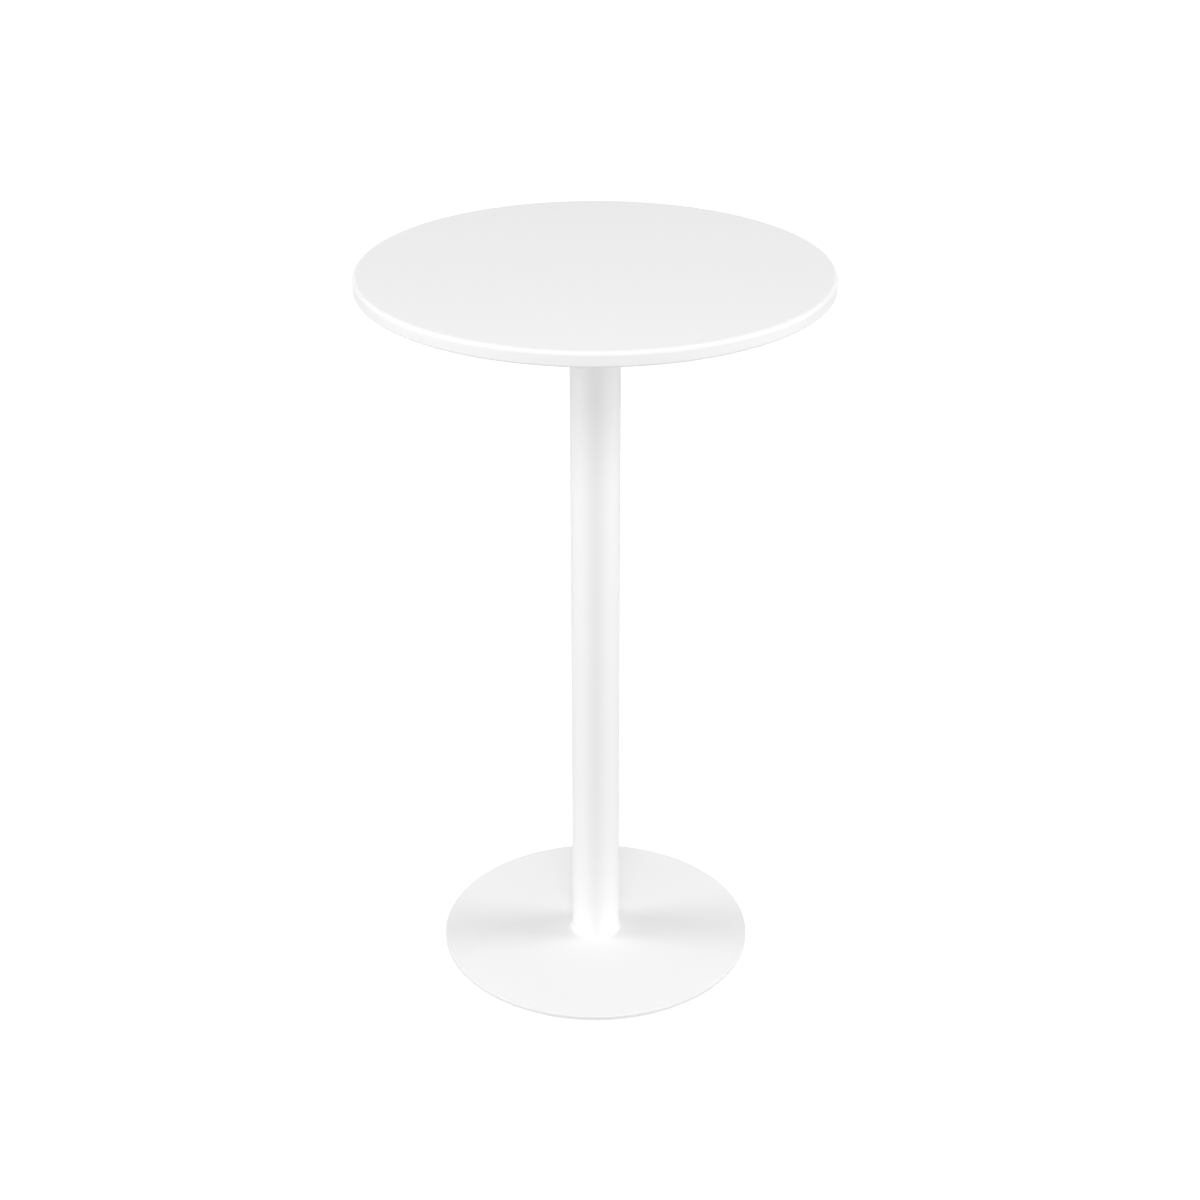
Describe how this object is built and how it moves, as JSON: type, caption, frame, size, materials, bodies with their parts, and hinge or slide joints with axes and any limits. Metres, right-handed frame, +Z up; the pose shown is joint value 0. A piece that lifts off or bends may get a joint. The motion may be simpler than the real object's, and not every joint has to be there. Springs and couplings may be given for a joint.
{
  "type": "round bar table",
  "caption": "Round white bar table: a soft-edged board on a plain steel tube, with a thin, almost flat disc base and hidden levelling feet.",
  "frame": {"origin": "on the floor, on the column's axis", "axes": "+Z up along the column; the four feet lie on the diagonals between X and Y"},
  "size_m": [0.7, 0.7, 1.15],
  "materials": {
    "lacquered_board": "white satin lacquer on board",
    "powder_coat": "white powder coat, fine satin",
    "zinc_steel": "zinc plated",
    "nylon": "matt moulded"
  },
  "bodies": {
    "table": {"table_top": "lacquered_board", "threaded_inserts": "zinc_steel", "top_plate": "powder_coat", "plate_screws": "zinc_steel", "plate_washers": "zinc_steel", "top_spigot": "powder_coat", "rod_top_nut": "zinc_steel", "column_tube": "powder_coat", "tie_rod": "zinc_steel", "base_disc": "powder_coat", "base_spigot": "zinc_steel", "clamp_washer": "zinc_steel", "spring_washer": "zinc_steel", "clamp_nut": "zinc_steel"},
    "pad_1": {"foot_pad_1": "nylon"},
    "screw_1": {"foot_screw_1": "zinc_steel"},
    "pad_2": {"foot_pad_2": "nylon"},
    "screw_2": {"foot_screw_2": "zinc_steel"},
    "pad_3": {"foot_pad_3": "nylon"},
    "screw_3": {"foot_screw_3": "zinc_steel"},
    "pad_4": {"foot_pad_4": "nylon"},
    "screw_4": {"foot_screw_4": "zinc_steel"}
  },
  "joints": [
    {"name": "foot_1_lift", "type": "slide", "parent": "table", "child": "pad_1", "axis": [0, 0, -1], "range_m": [0, 0.0025]},
    {"name": "foot_1_turn", "type": "hinge", "parent": "pad_1", "child": "screw_1", "pos_m": [0.13081, 0.13081, 0.003], "axis": [0, 0, -1], "range_deg": [0, 720]},
    {"name": "foot_2_lift", "type": "slide", "parent": "table", "child": "pad_2", "axis": [0, 0, -1], "range_m": [0, 0.0025]},
    {"name": "foot_2_turn", "type": "hinge", "parent": "pad_2", "child": "screw_2", "pos_m": [-0.13081, 0.13081, 0.003], "axis": [0, 0, -1], "range_deg": [0, 720]},
    {"name": "foot_3_lift", "type": "slide", "parent": "table", "child": "pad_3", "axis": [0, 0, -1], "range_m": [0, 0.0025]},
    {"name": "foot_3_turn", "type": "hinge", "parent": "pad_3", "child": "screw_3", "pos_m": [-0.13081, -0.13081, 0.003], "axis": [0, 0, -1], "range_deg": [0, 720]},
    {"name": "foot_4_lift", "type": "slide", "parent": "table", "child": "pad_4", "axis": [0, 0, -1], "range_m": [0, 0.0025]},
    {"name": "foot_4_turn", "type": "hinge", "parent": "pad_4", "child": "screw_4", "pos_m": [0.13081, -0.13081, 0.003], "axis": [0, 0, -1], "range_deg": [0, 720]}
  ],
  "couplings": [
    {"joint": "foot_1_lift", "follows": "foot_1_turn", "m_per_rad": 0.00019894},
    {"joint": "foot_2_lift", "follows": "foot_2_turn", "m_per_rad": 0.00019894},
    {"joint": "foot_3_lift", "follows": "foot_3_turn", "m_per_rad": 0.00019894},
    {"joint": "foot_4_lift", "follows": "foot_4_turn", "m_per_rad": 0.00019894}
  ]
}
